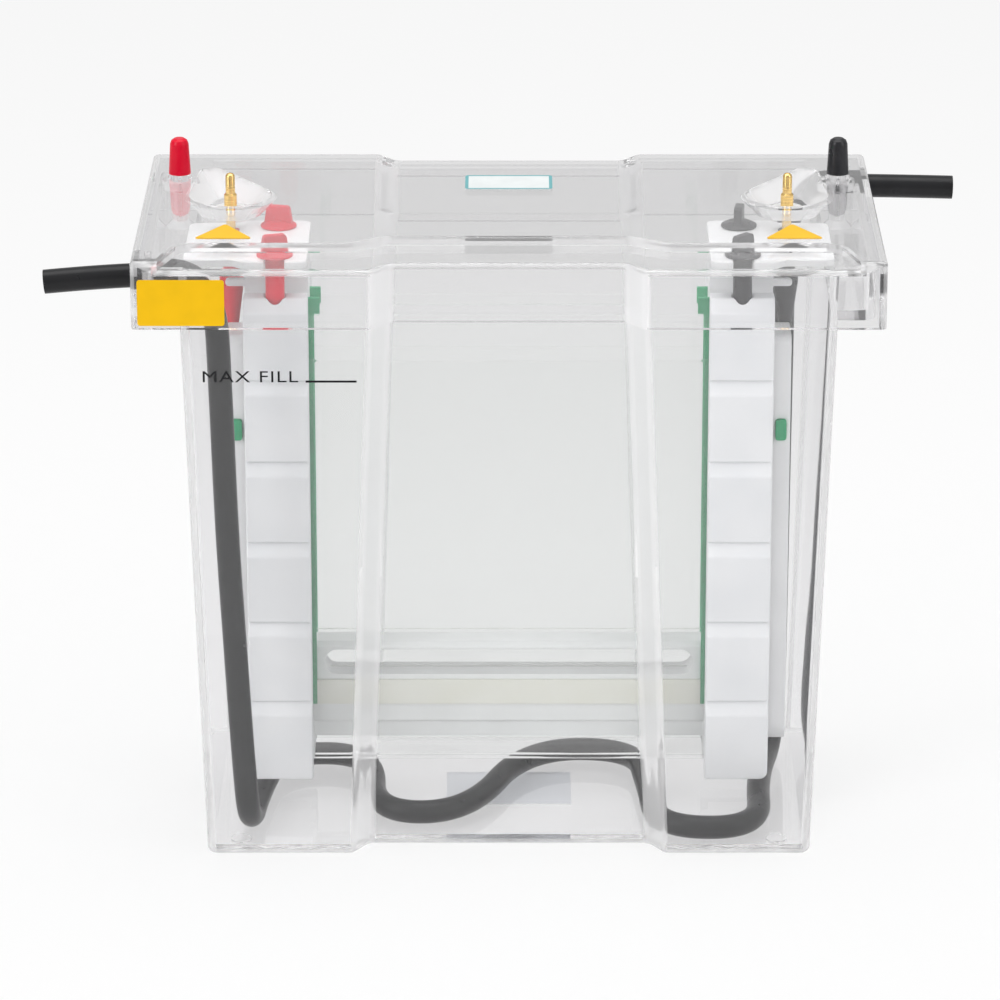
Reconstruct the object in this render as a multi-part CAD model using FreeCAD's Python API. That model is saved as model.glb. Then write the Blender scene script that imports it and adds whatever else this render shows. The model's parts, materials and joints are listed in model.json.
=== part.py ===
import FreeCAD, Part
import math
import os
from FreeCAD import Vector

# Vertical gel tank for plates 200 mm square: a clear moulded tank, a clear lid that lifts
# straight off, and a running module that hangs between the tank's two end shelves.
# Millimetres, +Z up. X runs along the width, -Y is the front. The origin is on the
# standing surface, in the middle of the tank.

# Plates and spacers
PLATE_WIDTH = 200.0
PLATE_HEIGHT = 200.0
PLATE_THICK = 3.0
PLATE_BASE_Z = 22.5
SPACER_THICK = 1.5
SPACER_WIDTH = 10.0
NOTCH_DEPTH = 22.0
NOTCH_EAR = 13.0
NOTCH_RADIUS = 8.0

# Module core
CORE_HALF_DEPTH = 7.5
CLAMP_OVERLAP = 16.0
CLAMP_WIDTH = 27.0
CHEEK_THICK = 8.0
CHEEK_HALF_DEPTH = 12.0
CHEEK_TOP_Z = 212.0
BEAM_BASE_Z = 29.0
BEAM_TOP_Z = 73.0
BEAM_LIP_HEIGHT = 7.0
BEAM_LIP_INSET = 2.0
BEAM_SLOT_HEIGHT = 11.0
BEAM_SLOT_BELOW_TOP = 3.5
BEAM_SLOT_END = 5.0
TOE_HEIGHT = 3.6
TOE_INSET = 3.0

# Seals
SEAL_DEPTH = 1.0
SEAL_PROUD = 1.0
SEAL_FIT = 0.1
SIDE_SEAL_WIDTH = 5.0
SIDE_SEAL_LAP = 1.5
SIDE_SEAL_TOP = 5.5
SIDE_SEAL_HEAD = 7.0
SIDE_SEAL_HEAD_LAP = 3.0
BASE_SEAL_HEIGHT = 11.0
BASE_SEAL_Z = 45.0

# Electrode wires, each across the core from post to post
WIRE_R = 0.25
WIRE_CLEAR = 0.1
WIRE_ENTRY = 2.0
UPPER_WIRE_RISE = 3.5
LOWER_WIRE_RISE = 0.8

# End plates that carry the module
END_PLATE_THICK = 3.0
END_PLATE_HALF_DEPTH = 31.0
END_PLATE_CUTBACK = 3.5
END_PLATE_BEARING = 3.8
END_PLATE_RADIUS = 4.0
END_LIP_DROP = 3.5
HOOK_LENGTH = 8.0
HOOK_HEIGHT = 3.2
HOOK_DROP = 9.5
HOOK_THICK = 3.0

# Clamp bars
BAR_GAP = 0.2
BAR_THICK = 11.7
BAR_ABOVE_PLATE = 10.5
BAR_BELOW_PLATE = 5.5
BAR_HEADROOM = 12.5
BAR_CORNER = 3.5
WAVE_COUNT = 6
WAVE_RAMP = 6.0
WAVE_DEPTH = 3.4
WAVE_FALL = 1.4
BAR_LIFT = 4.8
BAR_SWING = 1.2

# Knobs
KNOB_STEM_R = 4.0
KNOB_SHAFT_R = 3.2
KNOB_SHAFT_LENGTH = 28.0
KNOB_FLANGE_R = 7.6
KNOB_FLANGE_THICK = 1.7
KNOB_WING_WIDTH = 9.6
KNOB_WING_THICK = 3.6
KNOB_WING_HEIGHT = 7.4
KNOB_CLEAR = 0.3
KNOB_STEM_ENTRY = 1.0

# Tank
TANK_END_ROOM = 5.5
TANK_BASE_DEPTH = 139.2
TANK_RIM_RISE = 13.0
TANK_WALL = 3.0
TANK_FLOOR = 4.0
TANK_DRAFT = 1.4
TANK_END_DRAFT = 1.7
TANK_CORNER = 4.5
BAY_CORNER = 4.5
TANK_BASE_ROUND = 3.0
BAY_RECESS = 10.9
BAY_EDGE_BASE = 62.0
BAY_EDGE_DRAFT = 2.15
BAY_SLANT = 3.5
SHELF_THICK = 3.5
SHELF_REACH = 14.7
SHELF_INSET = 2.4
SHELF_CORNER = 6.0
FLOOR_PAD_R = 4.5
FLOOR_PAD_HEIGHT = 0.8
FLOOR_PAD_INSET = 11.0
BASE_PANEL_LENGTH = 54.0
BASE_PANEL_DEPTH = 36.0
BASE_PANEL_SINK = 1.0

# Lid
LID_WALL = 3.0
LID_END_CLEAR = 1.0
LID_FACE_CLEAR = 2.5
LID_BAY_CLEAR = 0.5
LID_SEAT_GAP = 0.2
LID_STEP = 3.8
LID_SKIRT = 28.7
LID_CORNER = 2.5
LID_TOP_ROUND = 2.0
LEDGE_DEPTH = 27.5
LEDGE_EDGE_ROUND = 9.0
LEDGE_END_MARGIN = 19.0
LEDGE_END_SLANT = 8.0

# Wells, inlet pins and location posts
PIN_OUTSIDE_POST = 6.5
PIN_Y = 17.0
WELL_R = 18.0
WELL_TAIL_R = 5.0
WELL_TAIL_X = 10.5
WELL_TAIL_Y = 40.0
WELL_TAIL_RAMP = 0.45
WELL_DEPTH = 7.0
WELL_TAPER = 7.0
WELL_WALL = 2.4
PIN_R = 2.0
PIN_BASE_R = 2.7
PIN_BASE_HEIGHT = 5.5
PIN_HEIGHT = 15.0
PIN_REACH = 21.0
NUT_R = 7.2
NUT_THICK = 1.6
SOCKET_NECK_R = 3.6
SOCKET_FLANGE_R = 5.2
SOCKET_FLANGE_THICK = 3.0
SOCKET_TAIL_R = 2.4
SOCKET_NECK = 15.0
SOCKET_BODY = 24.0
SOCKET_BALL_R = 2.3
BORE_CLEAR = 0.3
POST_SHELF_INSET = 9.5
POST_Y = 45.0
POST_R = 3.7
POST_FOOT = 3.0
POST_CAP_R = 4.7
POST_CAP_WALL = 0.9
POST_CAP_FIT = 0.1
POST_TOP_R = 4.0
POST_CAP_LENGTH = 15.5
POST_ABOVE_LID = 17.0
POST_CLEAR = 0.6
POST_BOSS_WALL = 2.2

# Drain plugs
PLUG_Z = 171.0
PLUG_HEIGHT = 9.0
PLUG_WIDTH = 4.6
PLUG_PROUD = 2.0

# Bare label plates on the lid
LABEL_THICK = 0.4
FRONT_LABEL_WIDTH = 35.5
FRONT_LABEL_HEIGHT = 19.5
FRONT_LABEL_INSET = 0.3
TOP_LABEL_SIDE = 24.0
TOP_LABEL_SETBACK = 5.5
BACK_LABEL_WIDTH = 37.0
BACK_LABEL_DEPTH = 21.0
BACK_LABEL_Y = 35.0

# Cooling hose
HOSE_R = 5.0
HOSE_LEFT_Y = -54.0
HOSE_RIGHT_Y = 63.0
HOSE_LEFT_RISE = 3.5
HOSE_RIGHT_RISE = 7.9
HOSE_MOUTH = 4.9
HOSE_STUB = 37.0
HOSE_SAG = 3.0
HOSE_NOTCH_CLEAR = 0.8

# Places that follow from the sizes above
post_in = PLATE_WIDTH / 2 - CLAMP_OVERLAP
post_out = post_in + CLAMP_WIDTH
cheek_out = post_out + CHEEK_THICK
pin_x = post_out + PIN_OUTSIDE_POST
plate_top = PLATE_BASE_Z + PLATE_HEIGHT
seal_face = CORE_HALF_DEPTH + SEAL_PROUD
notched_y = seal_face + SEAL_FIT
spacer_y = notched_y + PLATE_THICK
outer_y = spacer_y + SPACER_THICK
bar_y = outer_y + PLATE_THICK + BAR_GAP
bar_top = plate_top + BAR_ABOVE_PLATE
bar_base = PLATE_BASE_Z - BAR_BELOW_PLATE
end_plate_z = bar_top + BAR_HEADROOM
end_plate_top = end_plate_z + END_PLATE_THICK
knob_x = (post_in + post_out) / 2
knob_y = bar_y + (BAR_THICK - WAVE_DEPTH) / 2 + 1.0
wave_pitch = (bar_top - bar_base) / WAVE_COUNT
shelf_z = end_plate_z - END_LIP_DROP
tank_height = end_plate_z + TANK_RIM_RISE
base_half_width = cheek_out + TANK_END_ROOM + TANK_WALL
half_width_top = base_half_width + tank_height * math.tan(math.radians(TANK_END_DRAFT))
half_depth_top = TANK_BASE_DEPTH / 2 + tank_height * math.tan(math.radians(TANK_DRAFT))
bay_edge_top = BAY_EDGE_BASE - tank_height * math.tan(math.radians(BAY_EDGE_DRAFT))
lid_bay_edge = bay_edge_top - LID_BAY_CLEAR
shelf_out = half_width_top + SHELF_REACH
shelf_half_depth = half_depth_top - SHELF_INSET
shelf_edge = (base_half_width - TANK_WALL
              + shelf_z * math.tan(math.radians(TANK_END_DRAFT)))
post_x = shelf_out - POST_SHELF_INSET
lid_half_width = shelf_out + LID_END_CLEAR + LID_WALL
lid_half_depth = half_depth_top + LID_FACE_CLEAR + LID_WALL
lid_seat = tank_height + LID_SEAT_GAP
ledge_top = lid_seat + LID_WALL
lid_top = ledge_top + LID_STEP
lid_under = lid_top - LID_WALL
skirt_base = lid_top - LID_SKIRT
hose_left_z = end_plate_top + HOSE_LEFT_RISE
hose_right_z = end_plate_top + HOSE_RIGHT_RISE
well_floor = lid_top - WELL_DEPTH
pin_base = well_floor + NUT_THICK
post_top = lid_top + POST_ABOVE_LID
post_cap_base = post_top - POST_CAP_LENGTH
post_end = post_top - POST_CAP_WALL * 3

UP = Vector(0, 0, 1)


def block(x0, x1, y0, y1, z0, z1):
    """A box between two corners."""
    return Part.makeBox(x1 - x0, y1 - y0, z1 - z0, Vector(x0, y0, z0))


def rod(radius, x, y, z0, z1):
    """An upright cylinder."""
    return Part.makeCylinder(radius, z1 - z0, Vector(x, y, z0), UP)


def to_vectors(points, plane, level):
    """Flat points in the XY, YZ or XZ plane as vectors at one level."""
    if plane == "XY":
        return [Vector(a, b, level) for a, b in points]
    if plane == "YZ":
        return [Vector(level, a, b) for a, b in points]
    return [Vector(a, level, b) for a, b in points]


def rounded_wire(points, radii, plane="XY", level=0.0):
    """A closed outline with a tangent arc at each corner that has a radius."""
    corners = to_vectors(points, plane, level)
    count = len(corners)
    if not isinstance(radii, (list, tuple)):
        radii = [radii] * count
    starts, ends, arcs = [], [], []
    for i, corner in enumerate(corners):
        back = (corners[i - 1] - corner).normalize()
        ahead = (corners[(i + 1) % count] - corner).normalize()
        if radii[i] <= 0:
            starts.append(corner)
            ends.append(corner)
            arcs.append(None)
            continue
        half = back.getAngle(ahead) / 2
        reach = radii[i] / math.tan(half)
        middle = (back + ahead).normalize()
        centre = corner + middle * (radii[i] / math.sin(half))
        starts.append(corner + back * reach)
        ends.append(corner + ahead * reach)
        arcs.append(centre - middle * radii[i])
    edges = []
    for i in range(count):
        if arcs[i] is not None:
            edges.append(Part.Arc(starts[i], arcs[i], ends[i]).toShape())
        following = starts[(i + 1) % count]
        if ends[i].distanceToPoint(following) > 1e-6:
            edges.append(Part.LineSegment(ends[i], following).toShape())
    return Part.Wire(edges)


def prism(wire, travel):
    """A closed outline pulled straight along a vector."""
    return Part.Face(wire).extrude(travel)


def loft(lower, upper):
    """A ruled solid between two outlines with matching corners."""
    return Part.makeLoft([lower, upper], True, True)


def turned(profile, x, y):
    """A solid turned about an upright axis from (radius, height) points."""
    points = [Vector(x + r, y, z) for r, z in profile]
    outline = Part.makePolygon(points + [points[0]])
    return Part.Face(outline).revolve(Vector(x, y, 0), UP, 360)


def flip_x(shape):
    return shape.mirror(Vector(0, 0, 0), Vector(1, 0, 0))


def flip_y(shape):
    return shape.mirror(Vector(0, 0, 0), Vector(0, 1, 0))


def fuse_all(shapes):
    """All the shapes as one clean solid."""
    return shapes[0].multiFuse(shapes[1:]).removeSplitter()


def bay_outline(half_x, half_y, edge, recess, corner, bay_corner, inset, z):
    """The dog-bone plan: two deep end bays joined by a shallower middle."""
    waist = half_y - recess
    edge += inset * math.tan(math.atan2(recess, 2 * BAY_SLANT) / 2)
    quarter = [(half_x, half_y, corner - inset),
               (edge + BAY_SLANT, half_y, bay_corner - inset),
               (edge - BAY_SLANT, waist, bay_corner + inset)]
    points, radii = [], []
    for x, y, r in quarter:
        points.append((x, y))
        radii.append(r)
    for x, y, r in reversed(quarter):
        points.append((-x, y))
        radii.append(r)
    for x, y, r in quarter:
        points.append((-x, -y))
        radii.append(r)
    for x, y, r in reversed(quarter):
        points.append((x, -y))
        radii.append(r)
    return rounded_wire(points, radii, "XY", z)


def tank_section(z, inset):
    """The tank's outline at a height, moved in by a wall thickness."""
    half_x = base_half_width + z * math.tan(math.radians(TANK_END_DRAFT)) - inset
    half_y = TANK_BASE_DEPTH / 2 + z * math.tan(math.radians(TANK_DRAFT)) - inset
    edge = BAY_EDGE_BASE - z * math.tan(math.radians(BAY_EDGE_DRAFT))
    return bay_outline(half_x, half_y, edge, BAY_RECESS, TANK_CORNER, BAY_CORNER, inset, z)


def base_edges(solid, z):
    """The edges that lie in one horizontal plane."""
    return [e for e in solid.Edges
            if abs(e.BoundBox.ZMin - z) < 1e-4 and abs(e.BoundBox.ZMax - z) < 1e-4]


def hose_notches(x0, x1, z_open):
    """The slots that the hose drops into at both ends, open up or down to one height."""
    radius = HOSE_R + HOSE_NOTCH_CLEAR
    slots = []
    for y, z in ((HOSE_LEFT_Y, hose_left_z), (HOSE_RIGHT_Y, hose_right_z)):
        slot = Part.makeCylinder(radius, x1 - x0, Vector(x0, y, z), Vector(1, 0, 0))
        low, high = min(z, z_open), max(z, z_open)
        slots.append(slot.fuse(block(x0, x1, y - radius, y + radius, low, high)))
    return flip_x(slots[0]).fuse(slots[1])


def make_tank():
    """Drafted clear shell with an outward shelf at each end under the rim."""
    outer = loft(tank_section(0, 0), tank_section(tank_height, 0))
    outer = outer.makeFillet(TANK_BASE_ROUND, base_edges(outer, 0))
    inner = loft(tank_section(TANK_FLOOR, TANK_WALL),
                 tank_section(tank_height + 1, TANK_WALL))
    reach, depth = shelf_out, shelf_half_depth
    start = base_half_width - TANK_WALL
    outline = [(start, -depth), (reach, -depth), (reach, depth), (start, depth)]
    shelf = prism(rounded_wire(outline, [0, SHELF_CORNER, SHELF_CORNER, 0], "XY",
                               shelf_z - SHELF_THICK),
                  Vector(0, 0, tank_height - shelf_z + SHELF_THICK))
    wall = TANK_WALL
    hollow_line = [(0, wall - depth), (reach - wall, wall - depth),
                   (reach - wall, depth - wall), (0, depth - wall)]
    hollow = prism(rounded_wire(hollow_line,
                                [0, SHELF_CORNER - wall, SHELF_CORNER - wall, 0],
                                "XY", shelf_z),
                   Vector(0, 0, tank_height - shelf_z + 1))
    body = outer.fuse(shelf).fuse(flip_x(shelf))
    body = body.cut(inner).cut(hollow).cut(flip_x(hollow))
    rim_gap = reach - wall - 1
    body = body.cut(hose_notches(rim_gap, reach + 1, tank_height + 1))
    panel = block(-BASE_PANEL_LENGTH / 2, BASE_PANEL_LENGTH / 2,
                  -BASE_PANEL_DEPTH / 2, BASE_PANEL_DEPTH / 2, -1, BASE_PANEL_SINK)
    body = body.cut(panel)
    pads = []
    for sx in (-1, 1):
        for sy in (-1, 1):
            x = sx * (base_half_width - TANK_WALL - FLOOR_PAD_INSET)
            y = sy * (TANK_BASE_DEPTH / 2 - TANK_WALL - FLOOR_PAD_R - 1)
            pads.append(rod(FLOOR_PAD_R, x, y, TANK_FLOOR - 1, TANK_FLOOR + FLOOR_PAD_HEIGHT))
    posts = [location_post(-1), location_post(1)]
    return fuse_all([body] + pads + posts)


def ledge_region(grow, z0, z1):
    """The stepped-down strip along the lid's front, with its curved ends."""
    back = lid_half_depth - LEDGE_DEPTH - grow
    waist = back - (BAY_RECESS - 1)
    end = lid_half_width - LEDGE_END_MARGIN + grow
    edge = bay_edge_top
    far = -(lid_half_depth + 14)
    slant = LEDGE_END_SLANT * 1.5
    right = [(end + slant, far), (end, -back), (edge + 14, -back), (edge - 2, -waist)]
    bends = [0, LEDGE_EDGE_ROUND, LEDGE_EDGE_ROUND, LEDGE_EDGE_ROUND]
    left = [(-x, y) for x, y in reversed(right)]
    wire = rounded_wire(right + left, bends + bends[::-1], "XY", z0)
    return prism(wire, Vector(0, 0, z1 - z0))


def teardrop(shrink, z, share=1.0):
    """Outline of a power well: a round bowl with a tail towards the back corner."""
    big, small = WELL_R - shrink, WELL_TAIL_R - shrink * 0.5
    c1 = Vector(pin_x, PIN_Y, z)
    c2 = Vector(pin_x + share * WELL_TAIL_X, PIN_Y + share * WELL_TAIL_Y, z)
    along = c2 - c1
    heading = math.atan2(along.y, along.x)
    spread = math.acos((big - small) / along.Length)

    def on(centre, radius, angle):
        return centre + Vector(radius * math.cos(angle), radius * math.sin(angle), 0)

    a1, a2 = on(c1, big, heading + spread), on(c1, big, heading - spread)
    b1, b2 = on(c2, small, heading + spread), on(c2, small, heading - spread)
    return Part.Wire([
        Part.Arc(a1, on(c1, big, heading + math.pi), a2).toShape(),
        Part.LineSegment(a2, b2).toShape(),
        Part.Arc(b2, on(c2, small, heading), b1).toShape(),
        Part.LineSegment(b1, a1).toShape(),
    ])


def make_lid():
    """Clear lid: dog-bone deck with a front ledge, skirt, power wells and post holes."""
    recess = BAY_RECESS - 1
    edge = lid_bay_edge
    height = lid_top - skirt_base
    outline = bay_outline(lid_half_width, lid_half_depth, edge, recess,
                          LID_CORNER, BAY_CORNER, 0, skirt_base)
    deck = prism(outline, Vector(0, 0, height))
    deck = deck.makeFillet(LID_TOP_ROUND, base_edges(deck, lid_top))
    deck = deck.cut(ledge_region(0, skirt_base - 1, lid_top + 1))
    ledge = prism(outline, Vector(0, 0, ledge_top - skirt_base))
    ledge = ledge.makeFillet(LID_TOP_ROUND, base_edges(ledge, ledge_top))
    body = deck.fuse(ledge)
    cavity_line = bay_outline(lid_half_width - LID_WALL, lid_half_depth - LID_WALL,
                              edge, recess, LID_CORNER, BAY_CORNER, LID_WALL,
                              skirt_base - 1)
    cavity = prism(cavity_line, Vector(0, 0, lid_under - skirt_base + 1))
    cavity = cavity.cut(ledge_region(LID_WALL, lid_seat, lid_top))
    body = body.cut(cavity)
    rib = loft(tank_section(lid_seat, 0), tank_section(lid_under + 0.5, 0))
    rib = rib.cut(loft(tank_section(lid_seat - 1, TANK_WALL),
                       tank_section(lid_under + 1, TANK_WALL)))
    reach = half_width_top - TANK_WALL - TANK_CORNER
    rib = rib.common(block(-reach, reach, half_depth_top / 2, lid_half_depth,
                           lid_seat, lid_under + 0.5))
    adds, cuts = [rib], []
    outer_drop = lid_under + 0.5 - (well_floor - WELL_WALL)
    for side in (-1, 1):
        bowl = loft(teardrop(WELL_TAPER, well_floor, WELL_TAIL_RAMP),
                    teardrop(-0.5, lid_top + 1))
        skin = loft(teardrop(WELL_TAPER - WELL_WALL, well_floor - WELL_WALL, WELL_TAIL_RAMP),
                    teardrop(-WELL_WALL * 0.8, well_floor - WELL_WALL + outer_drop))
        boss = rod(POST_CAP_R + POST_CLEAR + POST_BOSS_WALL, post_x, POST_Y,
                   lid_seat, lid_under + 0.5)
        hole = rod(POST_CAP_R + POST_CLEAR, post_x, POST_Y, lid_seat - 1, lid_top + 1)
        bore = rod(PIN_R, pin_x, PIN_Y, well_floor - WELL_WALL - 1, well_floor + 1)
        for shape, pile in ((skin, adds), (boss, adds), (bowl, cuts), (hole, cuts),
                            (bore, cuts)):
            pile.append(shape if side > 0 else flip_x(shape))
    body = body.multiFuse(adds)
    for shape in cuts:
        body = body.cut(shape)
    skin_in = lid_half_width - LID_WALL - 1
    body = body.cut(hose_notches(skin_in, lid_half_width + 1, skirt_base - 1))
    return body.removeSplitter()


def make_core():
    """White module core: posts, slotted beam, cheeks, toes and end plates."""
    half = CORE_HALF_DEPTH
    beam_profile = [(half - BEAM_LIP_INSET, BEAM_BASE_Z),
                    (half - BEAM_LIP_INSET, BEAM_BASE_Z + BEAM_LIP_HEIGHT),
                    (half, BEAM_BASE_Z + BEAM_LIP_HEIGHT + 1.0),
                    (half, BEAM_TOP_Z - 2.0), (half - 2.0, BEAM_TOP_Z)]
    beam_profile += [(-y, z) for y, z in reversed(beam_profile)]
    beam = prism(rounded_wire(beam_profile, 0, "YZ", -post_in - 1),
                 Vector(2 * post_in + 2, 0, 0))
    slot_top = BEAM_TOP_Z - BEAM_SLOT_BELOW_TOP
    slot_half = post_in - BEAM_SLOT_END
    slot_line = [(-slot_half, slot_top - BEAM_SLOT_HEIGHT),
                 (slot_half, slot_top - BEAM_SLOT_HEIGHT),
                 (slot_half, slot_top), (-slot_half, slot_top)]
    slot = prism(rounded_wire(slot_line, BEAM_SLOT_HEIGHT * 0.49, "XZ", -half - 1),
                 Vector(0, 2 * half + 2, 0))
    beam = beam.cut(slot)
    pieces = [beam]
    for part in core_end():
        pieces.append(part)
        pieces.append(flip_x(part))
    core = fuse_all(pieces)
    for seal in (side_seal(1), side_seal(-1), base_seal(1), base_seal(-1)):
        core = core.cut(seal)
    core = core.cut(flip_x(side_seal(1))).cut(flip_x(side_seal(-1)))
    for side in (-1, 1):
        core = core.cut(rod(SOCKET_NECK_R, side * pin_x, PIN_Y, end_plate_z - 1,
                            end_plate_top + 1))
    core = core.cut(upper_wire(WIRE_CLEAR)).cut(lower_wire(WIRE_CLEAR))
    return core.removeSplitter()


def straight_wire(half_span, z, grow):
    """A wire across the middle of the core, or the bore that takes it."""
    half_span += WIRE_ENTRY + grow
    return Part.makeCylinder(WIRE_R + grow, 2 * half_span, Vector(-half_span, 0, z),
                             Vector(1, 0, 0))


def upper_wire(grow=0.0):
    """Electrode of the space between the cassettes, from post to post over the beam."""
    return straight_wire(post_in, BEAM_TOP_Z + UPPER_WIRE_RISE, grow)


def lower_wire(grow=0.0):
    """Electrode in the beam's slot, near its floor."""
    z = BEAM_TOP_Z - BEAM_SLOT_BELOW_TOP - BEAM_SLOT_HEIGHT + LOWER_WIRE_RISE
    return straight_wire(post_in - BEAM_SLOT_END, z, grow)


def core_end():
    """The pieces of the core's right-hand end."""
    half = CORE_HALF_DEPTH
    post = block(post_in, post_out, -half, half, PLATE_BASE_Z - TOE_HEIGHT - 0.2, end_plate_z + 1)
    toe_depth = bar_y - BAR_GAP
    toe = block(post_in + TOE_INSET, post_out - TOE_INSET, -toe_depth, toe_depth,
                PLATE_BASE_Z - TOE_HEIGHT - 0.2, PLATE_BASE_Z - 0.2)
    deep = CHEEK_HALF_DEPTH
    cheek_line = [(-deep, BEAM_BASE_Z - 1), (deep, BEAM_BASE_Z - 1), (deep, CHEEK_TOP_Z),
                  (-deep, CHEEK_TOP_Z)]
    cheek = prism(rounded_wire(cheek_line, [9, 9, 4, 4], "YZ", post_out - 1),
                  Vector(CHEEK_THICK + 1, 0, 0))
    plug = drain_plug(-1)
    cheek = cheek.cut(plug).cut(flip_y(plug))
    wide, narrow = END_PLATE_HALF_DEPTH, END_PLATE_HALF_DEPTH - END_PLATE_CUTBACK
    far = shelf_edge + END_PLATE_BEARING
    plate_line = [(post_in, -wide), (post_out, -wide), (post_out + 4, -narrow),
                  (far, -narrow), (far, narrow), (post_out + 4, narrow),
                  (post_out, wide), (post_in, wide)]
    turns = [END_PLATE_RADIUS, 2, 2, END_PLATE_RADIUS, END_PLATE_RADIUS, 2, 2, END_PLATE_RADIUS]
    plate = prism(rounded_wire(plate_line, turns, "XY", end_plate_z),
                  Vector(0, 0, END_PLATE_THICK))
    throat = KNOB_STEM_R + KNOB_CLEAR
    for sy in (-1, 1):
        plate = plate.cut(rod(throat, knob_x, sy * knob_y, end_plate_z - 1, end_plate_top + 1))
        gap = sorted((sy * knob_y, sy * (wide + 1)))
        plate = plate.cut(block(knob_x - throat, knob_x + throat, gap[0], gap[1],
                                end_plate_z - 1, end_plate_top + 1))
    lip = block(shelf_edge + 0.5, far, END_PLATE_RADIUS - narrow, narrow - END_PLATE_RADIUS,
                shelf_z + 0.1, end_plate_z + 1)
    web = block(post_out - 1, shelf_edge - 0.5, -half, 0, end_plate_z - 6, end_plate_z + 1)
    hook_z = end_plate_z - HOOK_DROP
    hook_line = [(post_out - 1, hook_z - HOOK_HEIGHT), (post_out + HOOK_LENGTH, hook_z - HOOK_HEIGHT),
                 (post_out + HOOK_LENGTH, hook_z), (post_out - 1, hook_z)]
    hook = prism(rounded_wire(hook_line, [0, HOOK_HEIGHT * 0.48, HOOK_HEIGHT * 0.48, 0],
                              "XZ", -half), Vector(0, HOOK_THICK, 0))
    return [post, toe, cheek, plate, lip, web, hook]


def side_seal(sy):
    """Green strip down the right-hand post, with the wider head above the plates."""
    y0, y1 = sorted((sy * (CORE_HALF_DEPTH - SEAL_DEPTH), sy * seal_face))
    x0 = post_in - SIDE_SEAL_LAP
    strip = block(x0, x0 + SIDE_SEAL_WIDTH, y0, y1, BASE_SEAL_Z, plate_top + SIDE_SEAL_TOP)
    top = plate_top + SIDE_SEAL_TOP
    inner = x0 - SIDE_SEAL_HEAD_LAP
    head_line = [(inner, top - SIDE_SEAL_HEAD), (x0 + 2, top - SIDE_SEAL_HEAD),
                 (x0 + SIDE_SEAL_WIDTH, top - SIDE_SEAL_HEAD + 2.5),
                 (x0 + SIDE_SEAL_WIDTH, top), (inner, top)]
    head = prism(rounded_wire(head_line, 0, "XZ", y0), Vector(0, y1 - y0, 0))
    return strip.fuse(head).removeSplitter()


def base_seal(sy):
    """Cream strip across the beam, between the two side strips."""
    y0, y1 = sorted((sy * (CORE_HALF_DEPTH - SEAL_DEPTH), sy * seal_face))
    reach = post_in - SIDE_SEAL_LAP
    return block(-reach, reach, y0, y1, BASE_SEAL_Z, BASE_SEAL_Z + BASE_SEAL_HEIGHT)


def drain_plug(sy):
    """Green stub in the cheek's edge."""
    deep = CHEEK_HALF_DEPTH
    y0, y1 = sorted((sy * (deep - 4), sy * (deep + PLUG_PROUD)))
    x0 = post_out + (CHEEK_THICK - PLUG_WIDTH) / 2
    line = [(x0, PLUG_Z - PLUG_HEIGHT / 2), (x0 + PLUG_WIDTH, PLUG_Z - PLUG_HEIGHT / 2),
            (x0 + PLUG_WIDTH, PLUG_Z + PLUG_HEIGHT / 2), (x0, PLUG_Z + PLUG_HEIGHT / 2)]
    return prism(rounded_wire(line, 1.2, "XZ", y0), Vector(0, y1 - y0, 0))


def make_outer_plate():
    """Front outer glass plate."""
    half = PLATE_WIDTH / 2
    return block(-half, half, -outer_y - PLATE_THICK, -outer_y, PLATE_BASE_Z, plate_top)


def make_notched_plate():
    """Front notched glass plate: its top is cut down between two ears."""
    half = PLATE_WIDTH / 2
    inner = half - NOTCH_EAR
    low = plate_top - NOTCH_DEPTH
    line = [(-half, PLATE_BASE_Z), (half, PLATE_BASE_Z), (half, plate_top), (inner, plate_top),
            (inner, low), (-inner, low), (-inner, plate_top), (-half, plate_top)]
    radii = [0, 0, 0, 0, NOTCH_RADIUS, NOTCH_RADIUS, 0, 0]
    wire = rounded_wire(line, radii, "XZ", -notched_y - PLATE_THICK)
    return prism(wire, Vector(0, PLATE_THICK, 0))


def make_spacer():
    """Spacer strip between the two front plates, at the right-hand edge."""
    half = PLATE_WIDTH / 2
    return block(half - SPACER_WIDTH, half, -outer_y, -spacer_y, PLATE_BASE_Z, plate_top)


def make_clamp():
    """Wave clamp bar of the front right-hand corner."""
    back, face = -bar_y, -(bar_y + BAR_THICK)
    line = [(back, bar_base), (back, bar_top)]
    for k in range(WAVE_COUNT):
        top = bar_top - k * wave_pitch
        line.append((face + WAVE_DEPTH, top))
        line.append((face, top - WAVE_RAMP))
        line.append((face + WAVE_FALL, top - wave_pitch))
    bar = prism(rounded_wire(line, 0, "YZ", post_in), Vector(CLAMP_WIDTH, 0, 0))
    lower = [e for e in bar.Edges
             if abs(e.BoundBox.XMin - post_out) < 1e-4
             and e.BoundBox.ZMax - e.BoundBox.ZMin < 1e-4
             and abs(e.BoundBox.ZMin - bar_base) < 1e-4]
    bar = bar.makeFillet(BAR_CORNER, lower)
    bar = bar.cut(knob_slot(KNOB_SHAFT_R, KNOB_SHAFT_LENGTH + BAR_LIFT))
    bar = bar.cut(knob_slot(KNOB_STEM_R, KNOB_STEM_ENTRY + BAR_LIFT))
    return bar.removeSplitter()


def knob_slot(radius, depth):
    """Hole in the bar's top, lengthened inwards by the bar's swing."""
    wide = radius + KNOB_CLEAR
    low, high = bar_top - depth - KNOB_CLEAR, bar_top + 1
    slot = rod(wide, knob_x, -knob_y, low, high)
    slot = slot.fuse(rod(wide, knob_x, BAR_SWING - knob_y, low, high))
    middle = block(knob_x - wide, knob_x + wide, -knob_y, BAR_SWING - knob_y, low, high)
    return slot.fuse(middle)


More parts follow.
